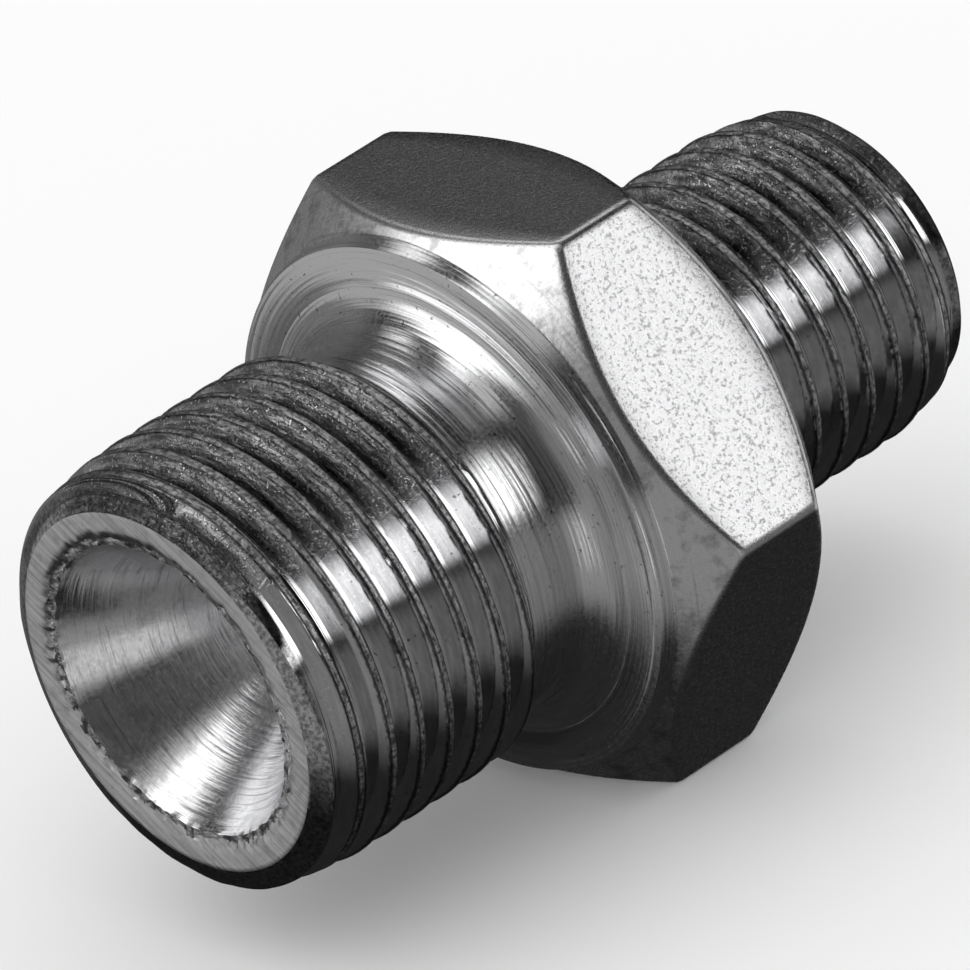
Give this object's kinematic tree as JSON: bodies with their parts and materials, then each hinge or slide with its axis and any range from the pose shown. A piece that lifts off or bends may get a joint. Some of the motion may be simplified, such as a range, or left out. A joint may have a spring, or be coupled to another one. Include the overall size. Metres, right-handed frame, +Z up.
{
  "type": "hose connector",
  "caption": "Straight male connector for hydraulic hoses, turned from hexagon bar, with a fine thread and a sealing cone at each end.",
  "frame": {"origin": "under the middle of the length, on the surface that the connector lies on", "axes": "+X along the axis from the large thread to the small one, +Z up through the upper hexagon flat"},
  "size_m": [0.037, 0.027, 0.0233],
  "materials": {
    "zinc_plated_steel": "bright zinc over turned steel"
  },
  "bodies": {
    "root": {"body": "zinc_plated_steel"}
  },
  "joints": []
}
